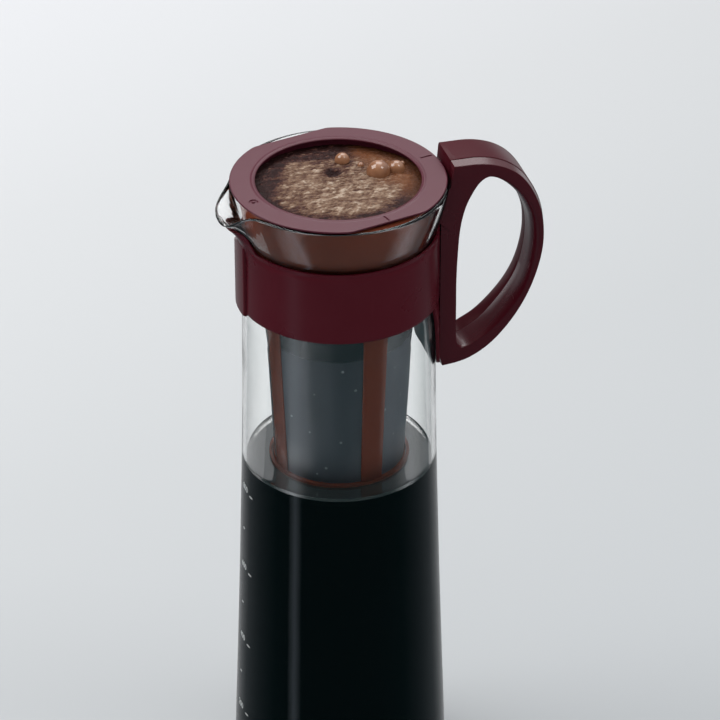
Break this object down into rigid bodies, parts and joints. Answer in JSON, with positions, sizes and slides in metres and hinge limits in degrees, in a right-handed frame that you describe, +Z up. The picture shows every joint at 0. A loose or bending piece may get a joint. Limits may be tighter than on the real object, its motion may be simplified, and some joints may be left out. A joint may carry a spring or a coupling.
{
  "type": "cold brew coffee maker",
  "caption": "Tall glass jug with a pouring beak, burgundy neck band, D handle, turning top ring and lift-out brown mesh strainer with a pull-off base cap.",
  "frame": {"origin": "centre of the jug's flat rest face, on the jug's axis", "axes": "+Z up along the jug's axis, +X to the handle, -X to the pouring beak"},
  "size_m": [0.1362, 0.091, 0.2932],
  "materials": {
    "glass": "clear polished",
    "burgundy_plastic": "satin moulded",
    "ring_plastic": "satin moulded",
    "brown_plastic": "translucent glossy",
    "strainer_mesh": "fine plain weave",
    "coffee": "liquid, near black",
    "coffee_bloom": "wet foam",
    "scale_print": "printed white enamel"
  },
  "bodies": {
    "jug": {"glass_jug": "glass", "neck_band": "burgundy_plastic", "spout_pad": "burgundy_plastic", "handle_body": "burgundy_plastic", "handle_cover": "burgundy_plastic"},
    "strainer": {"strainer_frame": "brown_plastic", "mesh_panel_1": "strainer_mesh", "mesh_panel_2": "strainer_mesh", "mesh_panel_3": "strainer_mesh", "mesh_panel_4": "strainer_mesh"},
    "ring": {"top_ring": "ring_plastic"},
    "cap": {"base_cap": "brown_plastic", "base_mesh": "strainer_mesh"}
  },
  "joints": [
    {"name": "strainer_lift", "type": "slide", "parent": "jug", "child": "strainer", "axis": [0, 0, 1], "range_m": [0, 0.14]},
    {"name": "ring_turn", "type": "hinge", "parent": "strainer", "child": "ring", "pos_m": [0, 0, 0.2857], "axis": [0, 0, 1], "continuous": true},
    {"name": "cap_pull", "type": "slide", "parent": "strainer", "child": "cap", "axis": [0, 0, -1], "range_m": [0, 0.02]}
  ]
}
